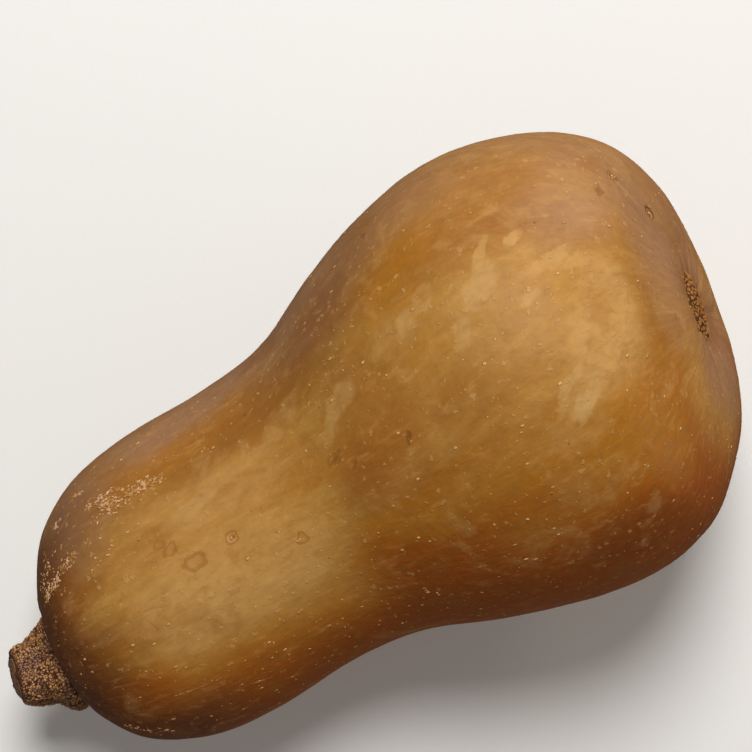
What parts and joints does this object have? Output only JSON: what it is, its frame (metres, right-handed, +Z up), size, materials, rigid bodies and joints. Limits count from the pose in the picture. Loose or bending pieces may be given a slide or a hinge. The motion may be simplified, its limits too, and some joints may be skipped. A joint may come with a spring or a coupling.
{
  "type": "butternut squash",
  "caption": "Whole butternut squash lying on its side: a smooth neck flaring into a round bulb, with a ridged corky stem stub and a dimpled blossom end.",
  "frame": {"origin": "middle of the footprint of the squash's bounding box, on the surface that it lies on", "axes": "+Z up; +X along the squash from the stem end to the blossom end; +Y to its left seen from the stem"},
  "size_m": [0.212, 0.1172, 0.116],
  "materials": {
    "fruit_skin": "satin golden-tan rind with pale streaks, specks and corky scars",
    "stem_cork": "dry, rough, granular cork"
  },
  "bodies": {
    "root": {"fruit": "fruit_skin", "stem": "stem_cork"}
  },
  "joints": []
}
